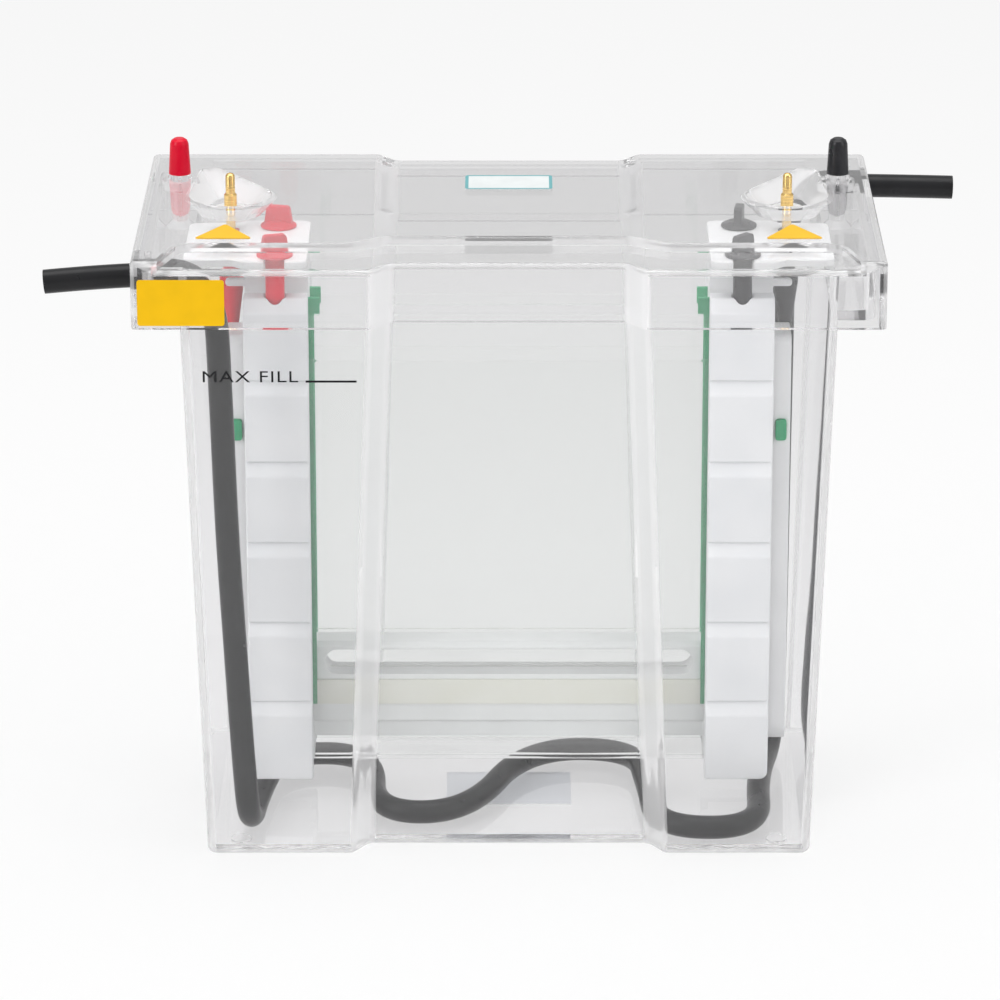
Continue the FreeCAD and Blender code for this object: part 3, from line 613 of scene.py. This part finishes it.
@dataclass
class Finishes:
    """Every finish of the part, made once."""

    clear: bpy.types.Material = field(init=False)
    glass: bpy.types.Material = field(init=False)
    frost: bpy.types.Material = field(init=False)
    # a part-white clear finish on rounded corners and rims: a painted highlight
    radius: bpy.types.Material = field(init=False)
    white: bpy.types.Material = field(init=False)
    core: bpy.types.Material = field(init=False)
    red: bpy.types.Material = field(init=False)
    black: bpy.types.Material = field(init=False)
    gilt: bpy.types.Material = field(init=False)
    wire: bpy.types.Material = field(init=False)
    green: bpy.types.Material = field(init=False)
    cream: bpy.types.Material = field(init=False)
    spacer: bpy.types.Material = field(init=False)
    hose: bpy.types.Material = field(init=False)
    yellow: bpy.types.Material = field(init=False)
    teal: bpy.types.Material = field(init=False)
    paper: bpy.types.Material = field(init=False)
    ink: bpy.types.Material = field(init=False)

    def __post_init__(self) -> None:
        """Builds the materials."""
        self.clear = ClearFinish("clear_moulded").build()
        # the glass's grazing tone is its own green edge colour together with painted shade
        self.glass = ClearFinish("float_glass", (0.982, 0.987, 0.983), (0.55, 0.68, 0.61),
                                 0.9, 1.05, 0.99, 1.52, 0.01, 0.0).build()
        # part-white: a painted highlight along rounded corners and rims
        self.radius = ClearFinish("clear_radii", clarity=0.7, frost=0.12).build()
        self.frost = ClearFinish("frosted_panel", (0.80, 0.83, 0.88), clarity=0.7,
                                 frost=0.4).build()
        self.white = MouldedFinish("white_moulded", (0.80, 0.815, 0.83), (0.86, 0.87, 0.88),
                                   0.38).build()
        # painted light: a lighter copy of the white moulding, to make up for the light that
        # the plates and shells keep off the core
        self.core = MouldedFinish("core_moulded", (0.88, 0.885, 0.89), (0.93, 0.935, 0.94),
                                  0.38).build()
        self.red = MouldedFinish("red_moulded", (0.74, 0.0, 0.022), (0.84, 0.0, 0.034),
                                 0.3, specular=0.25).build()
        self.black = MouldedFinish("black_moulded", (0.012, 0.012, 0.014),
                                   (0.020, 0.020, 0.024), 0.3, specular=0.35).build()
        self.gilt = MetalFinish("gilt_turned", (0.86, 0.60, 0.24)).build()
        self.wire = MetalFinish("bright_wire", (0.78, 0.78, 0.76)).build()
        self.green = MouldedFinish("green_silicone", (0.015, 0.32, 0.13), (0.03, 0.40, 0.18),
                                   0.5).build()
        self.cream = MouldedFinish("cream_foam", (0.86, 0.85, 0.76), (0.91, 0.90, 0.84), 0.75,
                                   0.06 * MM, 900.0).build()
        self.spacer = MouldedFinish("spacer_sheet", (0.72, 0.74, 0.73), (0.80, 0.82, 0.81),
                                    0.45).build()
        self.hose = MouldedFinish("black_hose", (0.008, 0.008, 0.009), (0.013, 0.013, 0.015),
                                  0.32, 0.004 * MM, 300.0, 0.3).build()
        self.yellow = PrintFinish("yellow_vinyl", (0.97, 0.56, 0.0)).build()
        self.teal = PrintFinish("teal_print", (0.16, 0.46, 0.49)).build()
        self.paper = PrintFinish("white_print", (0.83, 0.87, 0.87)).build()
        self.ink = PrintFinish("black_ink", (0.01, 0.01, 0.012), 0.45).build()


@dataclass
class Shells:
    """The moulded tank and its lid, in clear plastic.

    Attributes:
        panel_reach: half the length and width of the panel under the base.
        panel_z: the height of its face.
        panel_room: how far from that height a face may lie.
        base_rim: up to here a wall's face is the rim of the base.
        step: the heights between which the lid's step runs.
        wall_lean: a face whose normal rises less than this stands upright.
        corner_cosine: a face that turns further than this from each axis is rounded.
    """

    panel_reach: tuple[float, float] = (27.2 * MM, 18.2 * MM)
    panel_z: float = 1.0 * MM
    panel_room: float = 0.1 * MM
    base_rim: float = 3.0 * MM
    step: tuple[float, float] = (261.8 * MM, 265.4 * MM)
    wall_lean: float = 0.5
    corner_cosine: float = 0.97

    def build(self, finishes: Finishes) -> None:
        """Makes the tank and the lid.

        Args:
            finishes: the part's materials.
        """
        for node, body in (("tank", "base"), ("lid", "lid")):
            piece = welded(node, node + "_shell")
            dress(piece, finishes.clear)
            # rounded corners and rims get the part-white finish, a painted highlight
            self.paint(piece, finishes.radius, self.on_radius)
            self.paint(piece, finishes.frost, self.on_panel)
            register(piece, body, "clear_plastic", node)

    def on_radius(self, face: bpy.types.MeshPolygon) -> bool:
        """Whether a face belongs to a rounded corner or to the rim of a wall, which gets a
        painted highlight.
        """
        x, y, z = (abs(c) for c in face.normal)
        level = face.center.z
        rim = level < self.base_rim or self.step[0] < level < self.step[1]
        return (rim and z < self.wall_lean) or max(x, y, z) < self.corner_cosine

    def on_panel(self, face: bpy.types.MeshPolygon) -> bool:
        """Whether a face is the recessed panel under the middle of the base."""
        x, y, z = face.center
        return (abs(z - self.panel_z) < self.panel_room and abs(x) < self.panel_reach[0]
                and abs(y) < self.panel_reach[1])

    @staticmethod
    def paint(piece: bpy.types.Object, finish: bpy.types.Material,
              wanted: Callable[[bpy.types.MeshPolygon], bool]) -> None:
        """Gives the faces that a test picks a finish of their own.

        Args:
            piece: the finished shell.
            finish: the faces' finish.
            wanted: a test of one polygon.
        """
        faces = [f for f in piece.data.polygons if wanted(f)]
        if faces:
            piece.data.materials.append(finish)
        for face in faces:
            face.material_index = len(piece.data.materials) - 1
        log.info("%s: %d faces of %s", piece.name, len(faces), finish.name)


@dataclass
class FillMark:
    """The printed fill level on the front of the left bay."""

    text: str = "MAX FILL"
    letters_start: float = -125.3 * MM
    letters_end: float = -86.2 * MM
    letter_height: float = 4.8 * MM
    letter_base: float = 212.2 * MM
    size_to_height: float = 1.42
    spacing: float = 1.1
    line_start: float = -83.2 * MM
    line_end: float = -62.3 * MM
    line_height: float = 0.9 * MM
    line_z: float = 212.5 * MM
    film: float = 0.03 * MM
    draft: float = 1.4
    base_y: float = -69.6 * MM

    def wall_y(self, z: float) -> float:
        """Where the drafted bay wall stands at a height."""
        return self.base_y - z * math.tan(math.radians(self.draft))

    def build(self, finishes: Finishes) -> None:
        """Makes the letters and the line as thin films of ink.

        Args:
            finishes: the part's materials.
        """
        bpy.ops.object.select_all(action="DESELECT")
        bpy.ops.object.text_add(location=(0, 0, 0))
        letters = bpy.context.object
        letters.data.body = self.text
        letters.data.size = self.letter_height * self.size_to_height
        letters.data.extrude = self.film
        letters.data.space_character = self.spacing
        alone(letters)
        bpy.ops.object.convert(target="MESH")
        left = min(v.co.x for v in letters.data.vertices)
        width = max(v.co.x for v in letters.data.vertices) - left
        height = max(v.co.y for v in letters.data.vertices)
        stretch = (self.letters_end - self.letters_start) / width
        letters.scale = (stretch, self.letter_height / height, 1)
        letters.rotation_euler = (math.radians(90 + self.draft), 0, 0)
        letters.location = (self.letters_start - left * stretch,
                            self.wall_y(self.letter_base) - self.film, self.letter_base)
        settle(letters)
        letters.name = "fill_mark_letters"
        bpy.ops.object.select_all(action="DESELECT")
        bpy.ops.mesh.primitive_cube_add(size=1, location=(
            (self.line_start + self.line_end) / 2, self.wall_y(self.line_z) - self.film,
            self.line_z))
        line = bpy.context.object
        line.scale = (self.line_end - self.line_start, self.film * 2, self.line_height)
        line.rotation_euler = (math.radians(self.draft), 0, 0)
        settle(line)
        line.name = "fill_mark_line"
        for piece in (letters, line):
            dress(piece, finishes.ink)
            register(piece, "base", "black_plastic")


@dataclass
class Labels:
    """The bare plates on the lid."""

    edge: Rounding = Rounding(0.1 * MM, 2, 40.0)
    bare_edge: Rounding = Rounding(0.0)
    frame_width: float = 1.4 * MM
    top_room: float = 0.01 * MM

    def build(self, finishes: Finishes) -> None:
        """Makes the yellow plates and the framed plate.

        Args:
            finishes: the part's materials.
        """
        for node in ("front_label", "top_label_left", "top_label_right"):
            piece = softened(node, node + "_plate", self.edge)
            dress(piece, finishes.yellow)
            register(piece, "lid", "yellow_label", node)
        piece = softened("back_label", "back_label_plate", self.bare_edge)
        top = max(v.co.z for v in piece.data.vertices)
        dress(piece, finishes.paper)
        piece.data.materials.append(finishes.teal)
        alone(piece)
        select_faces(piece, lambda p: p.normal.z > 0.9 and p.center.z > top - self.top_room)
        bpy.ops.object.mode_set(mode="EDIT")
        bpy.ops.mesh.select_mode(type="FACE")
        bpy.ops.mesh.dissolve_faces()
        piece.active_material_index = 1
        bpy.ops.object.material_slot_assign()
        bpy.ops.mesh.inset(thickness=self.frame_width, depth=0)
        piece.active_material_index = 0
        bpy.ops.object.material_slot_assign()
        bpy.ops.object.mode_set(mode="OBJECT")
        bpy.ops.mesh.customdata_custom_splitnormals_clear()
        bpy.ops.object.shade_flat()
        register(piece, "lid", "framed_label", "back_label")


@dataclass
class Fittings:
    """Pins, nuts, sockets and the coloured caps of the location posts."""

    edge: Rounding = Rounding(0.0, 1, 30.0)

    def build(self, finishes: Finishes) -> None:
        """Makes the electrical fittings and the caps.

        Args:
            finishes: the part's materials.
        """
        rows = [("socket_red", finishes.red, "base", "red_plastic"),
                ("socket_black", finishes.black, "base", "black_plastic"),
                ("post_cap_red", finishes.red, "base", "red_plastic"),
                ("post_cap_black", finishes.black, "base", "black_plastic")]
        for side in Side:
            rows.append(("inlet_pin_" + side.word, finishes.gilt, "lid", "gilt_metal"))
            rows.append(("pin_nut_" + side.word, finishes.white, "lid", "white_plastic"))
        for node, material, body, slot in rows:
            piece = softened(node, node + "_turned", self.edge)
            dress(piece, material)
            register(piece, body, slot, node)


@dataclass
class Clamps:
    """The wave bars and their winged knobs."""

    bar_edge: Rounding = Rounding(0.9 * MM, 3, 25.0, (97.5 * MM, 21.45 * MM), 4.2 * MM)
    knob_edge: Rounding = Rounding(0.35 * MM, 2, 35.0, (97.5 * MM, 21.45 * MM), 3.4 * MM)

    def build(self, finishes: Finishes) -> None:
        """Makes the four bars and the four knobs.

        Args:
            finishes: the part's materials.
        """
        for face in Face:
            for side in Side:
                tag = face.word + "_" + side.word
                bar = softened("clamp_" + tag, "wave_bar_" + tag, self.bar_edge)
                dress(bar, finishes.white)
                register(bar, "clamp_" + tag, "white_plastic", "clamp_" + tag)
                knob = softened("knob_" + tag, "wing_knob_" + tag, self.knob_edge)
                red = side is Side.LEFT
                dress(knob, finishes.red if red else finishes.black)
                register(knob, "knob_" + tag, "red_plastic" if red else "black_plastic",
                         "knob_" + tag)


@dataclass
class Module:
    """The white core with its seals, plugs and two gel cassettes."""

    core_edge: Rounding = Rounding(0.5 * MM, 2)
    glass_edge: Rounding = Rounding(0.35 * MM, 2, 40.0)
    seal_edge: Rounding = Rounding(0.2 * MM, 2, 40.0)
    wire_edge: Rounding = Rounding(0.0)

    def build(self, finishes: Finishes) -> None:
        """Makes the core, the seals, the wires and the cassettes.

        Args:
            finishes: the part's materials.
        """
        core = softened("module_core", "core_moulding", self.core_edge)
        # the core takes the lighter copy of the white moulding: painted light
        dress(core, finishes.core)
        register(core, "base", "white_plastic", "module_core")
        for face in Face:
            self.part("base_seal_" + face.word, self.seal_edge, finishes.cream, "cream_rubber")
            self.part("outer_plate_" + face.word, self.glass_edge, finishes.glass,
                      "plate_glass")
            self.part("notched_plate_" + face.word, self.glass_edge, finishes.glass,
                      "plate_glass")
            for side in Side:
                tag = face.word + "_" + side.word
                self.part("side_seal_" + tag, self.seal_edge, finishes.green, "green_rubber")
                self.part("spacer_" + tag, self.seal_edge, finishes.spacer, "spacer_plastic")
        for side in Side:
            self.part("drain_plug_" + side.word, self.seal_edge, finishes.green,
                      "green_rubber")
        for level in ("upper", "lower"):
            self.part(level + "_electrode_wire", self.wire_edge, finishes.wire,
                      "electrode_metal")

    def part(self, node: str, rounding: Rounding, material: bpy.types.Material,
             slot: str) -> None:
        """Makes one fixed piece of the module from its CAD node.

        Args:
            node: the CAD node.
            rounding: its edge radii.
            material: its finish.
            slot: its material slot.
        """
        piece = softened(node, node + "_piece", rounding)
        dress(piece, material)
        register(piece, "base", slot, node)


@dataclass
class Hose:
    """The cooling hose: one hollow tube along a listed route."""

    radius: float = 5.0 * MM
    wall: float = 1.5 * MM
    steps: int = 16
    ring_steps: int = 10
    smooth_angle: float = 40.0
    left_z: float = 252.0
    right_z: float = 256.4
    floor_z: float = 9.3
    route: list[tuple[float, float, float]] = field(init=False)

    def __post_init__(self) -> None:
        """Lays the route, in millimetres."""
        self.route = [
            (-190.9, -54.5, 249.0),
            (-158.8, -54.0, self.left_z),
            (-121.0, -54.0, self.left_z),
            (-119.1, -54.0, 196.6),
            (-117.7, -53.2, 138.6),
            (-114.6, -54.5, 80.6),
            (-112.4, -58.0, 42.8),
            (-109.9, -61.0, self.floor_z),
            (-107.3, -22.0, self.floor_z),
            (-99.8, 24.0, self.floor_z),
            (-58.5, 22.0, self.floor_z),
            (-58.0, -44.0, self.floor_z),
            (-17.0, -44.0, self.floor_z),
            (7.0, 28.0, self.floor_z),
            (56.0, 28.0, self.floor_z),
            (60.1, -18.1, self.floor_z),
            (64.0, -61.0, self.floor_z),
            (107.1, -61.0, self.floor_z),
            (107.4, -5.0, self.floor_z),
            (116.8, 42.0, self.floor_z),
            (117.2, 42.5, 71.8),
            (117.4, 43.0, 128.2),
            (118.0, 47.0, 185.9),
            (119.0, 63.0, self.right_z),
            (158.8, 63.0, self.right_z),
            (190.9, 63.5, 255.4),
        ]

    def build(self, finishes: Finishes) -> None:
        """Makes the hose.

        Args:
            finishes: the part's materials.
        """
        line = bpy.data.curves.new("cooling_hose_line", "CURVE")
        line.dimensions = "3D"
        spline = line.splines.new("NURBS")
        spline.points.add(len(self.route) - 1)
        for point, place in zip(spline.points, self.route):
            point.co = (*(Vector(place) * MM), 1)
        spline.order_u = 3
        spline.use_endpoint_u = True
        line.resolution_u = self.steps
        line.bevel_depth = self.radius
        line.bevel_resolution = self.ring_steps
        line.use_fill_caps = False
        hose = bpy.data.objects.new("cooling_hose_tube", line)
        bpy.context.scene.collection.objects.link(hose)
        alone(hose)
        bpy.ops.object.convert(target="MESH")
        hose = bpy.context.object
        bpy.ops.object.mode_set(mode="EDIT")
        bpy.ops.mesh.select_all(action="SELECT")
        bpy.ops.mesh.remove_doubles(threshold=WELD_DISTANCE)
        bpy.ops.mesh.normals_make_consistent(inside=False)
        bpy.ops.object.mode_set(mode="OBJECT")
        skin = hose.modifiers.new("hose_wall", "SOLIDIFY")
        skin.thickness = self.wall
        skin.offset = -1
        skin.use_rim = True
        apply_modifiers(hose)
        bpy.ops.object.shade_smooth_by_angle(angle=math.radians(self.smooth_angle))
        hose.name = "cooling_hose_tube"
        dress(hose, finishes.hose)
        register(hose, "base", "hose_rubber", "cooling_hose")


@dataclass(frozen=True)
class Lamp:
    """A soft lamp that faces the tank: its place and size in metres, and its power."""

    name: str
    place: tuple[float, float, float]
    size: tuple[float, float]
    watts: float

    def build(self, target: Vector) -> None:
        """Makes the lamp.

        Args:
            target: the point that it faces.
        """
        light = bpy.data.lights.new(self.name, "AREA")
        light.shape = "RECTANGLE"
        light.size, light.size_y = self.size
        light.energy = self.watts
        lamp = bpy.data.objects.new(self.name, light)
        lamp.location = self.place
        aim = target - Vector(self.place)
        lamp.rotation_mode = "QUATERNION"
        lamp.rotation_quaternion = aim.to_track_quat("-Z", "Y")
        bpy.context.scene.collection.objects.link(lamp)


LAMPS = (
    Lamp("overhead", (0.0, 0.1, 1.9), (1.6, 1.2), 13.0),
    Lamp("left_box", (-1.5, -1.1, 1.0), (0.8, 1.2), 10.0),
    Lamp("right_box", (1.6, -0.9, 0.9), (0.8, 1.2), 6.5),
)


@dataclass
class Studio:
    """The camera, a pale floor and soft lamps."""

    camera_y: float = -2.2017
    camera_z: float = 0.9069
    pitch: float = 19.436
    lens: float = 196.63
    shift: tuple[float, float] = (-0.00876, 0.01074)
    sensor: float = 36.0
    floor_size: float = 14.0
    floor_z: float = -0.3 * MM
    floor_tone: float = 0.88
    glow_share: float = 0.72
    fade_start: float = 0.1
    fade_end: float = 0.8
    near_level: float = 0.9
    fade_level: float = 0.7
    horizon: float = 0.62
    zenith: float = 0.85
    zenith_start: float = 0.8
    aim: tuple[float, float, float] = (0.0, 0.0, 0.15)
    clear_bounces: int = 20
    mirror_bounces: int = 12
    shadow_layers: int = 32

    def camera(self) -> None:
        """Makes the camera at the photograph's viewing angle."""
        lens = bpy.data.cameras.new("camera")
        lens.lens = self.lens
        lens.sensor_width = self.sensor
        lens.shift_x, lens.shift_y = self.shift
        eye = bpy.data.objects.new("camera", lens)
        eye.location = (0, self.camera_y, self.camera_z)
        eye.rotation_euler = (math.radians(90 - self.pitch), 0, 0)
        bpy.context.scene.collection.objects.link(eye)
        bpy.context.scene.camera = eye

    def floor(self) -> None:
        """Makes the pale floor, whose glow dims further back in reflections and through the
        shells: a painted shade.
        """
        bpy.ops.object.select_all(action="DESELECT")
        bpy.ops.mesh.primitive_plane_add(size=self.floor_size, location=(0, 0, self.floor_z))
        floor = bpy.context.object
        floor.name = "floor"
        settle(floor)
        n = Nodes("pale_floor")
        matt = n.add("ShaderNodeBsdfDiffuse", Color=(*(self.floor_tone,) * 3, 1))
        glow = n.add("ShaderNodeEmission", Color=(1, 1, 1, 1))
        path = n.add("ShaderNodeLightPath")
        depth = n.add("ShaderNodeSeparateXYZ")
        n.link(n.place(), depth.inputs["Vector"])
        # painted shade: the glow that reflections and the shells see dims from near_level to
        # fade_level further back
        fade = n.add("ShaderNodeMapRange", From_Min=self.fade_start, From_Max=self.fade_end,
                     To_Min=self.near_level, To_Max=self.fade_level)
        n.link(depth.outputs["Y"], fade.inputs["Value"])
        n.link(self.larger(n, path.outputs["Is Camera Ray"], fade.outputs["Result"]),
               glow.inputs["Strength"])
        share = n.add("ShaderNodeMath")
        share.operation = "MULTIPLY"
        share.inputs[1].default_value = self.glow_share
        seen = self.larger(n, path.outputs["Is Camera Ray"],
                           path.outputs["Is Transmission Ray"])
        seen = self.larger(n, seen, path.outputs["Is Glossy Ray"])
        n.link(seen, share.inputs[0])
        dress(floor, n.finish(n.blend(share.outputs[0], matt.outputs["BSDF"],
                                      glow.outputs["Emission"])))

    @staticmethod
    def larger(n: Nodes, first: bpy.types.NodeSocket,
               second: bpy.types.NodeSocket) -> bpy.types.NodeSocket:
        """The larger of two values.

        Args:
            n: the material being built.
            first: one value.
            second: the other value.

        Returns:
            The larger one.
        """
        pick = n.add("ShaderNodeMath")
        pick.operation = "MAXIMUM"
        n.link(first, pick.inputs[0])
        n.link(second, pick.inputs[1])
        return pick.outputs[0]

    def world(self) -> None:
        """Makes a pale room that is darker low down than overhead."""
        world = bpy.data.worlds.new("room")
        bpy.context.scene.world = world
        world.use_nodes = True
        tree = world.node_tree
        tree.nodes.clear()
        output = tree.nodes.new("ShaderNodeOutputWorld")
        shade = tree.nodes.new("ShaderNodeBackground")
        place = tree.nodes.new("ShaderNodeTexCoord")
        split = tree.nodes.new("ShaderNodeSeparateXYZ")
        ramp = tree.nodes.new("ShaderNodeMapRange")
        ramp.inputs["From Min"].default_value = 0.0
        ramp.inputs["From Max"].default_value = self.zenith_start
        ramp.inputs["To Min"].default_value = self.horizon
        ramp.inputs["To Max"].default_value = self.zenith
        tree.links.new(place.outputs["Generated"], split.inputs["Vector"])
        tree.links.new(split.outputs["Z"], ramp.inputs["Value"])
        tree.links.new(ramp.outputs["Result"], shade.inputs["Strength"])
        tree.links.new(shade.outputs["Background"], output.inputs["Surface"])

    def build(self) -> None:
        """Sets up the view, the room and the light."""
        self.camera()
        self.floor()
        self.world()
        for lamp in LAMPS:
            lamp.build(Vector(self.aim))
        scene = bpy.context.scene
        scene.view_settings.view_transform = "Standard"
        scene.cycles.max_bounces = self.clear_bounces
        scene.cycles.transmission_bounces = self.clear_bounces
        scene.cycles.glossy_bounces = self.mirror_bounces
        scene.cycles.transparent_max_bounces = self.shadow_layers


def main() -> None:
    """Builds the studio and every sub-assembly in order."""
    logging.basicConfig(level=logging.INFO, format="%(message)s")
    Studio().build()
    finishes = Finishes()
    for part in (Hose(), Shells(), Module(), Clamps(), Fittings(), Labels(), FillMark()):
        part.build(finishes)
        log.info("made %s", type(part).__name__)


if __name__ == "__main__":
    main()
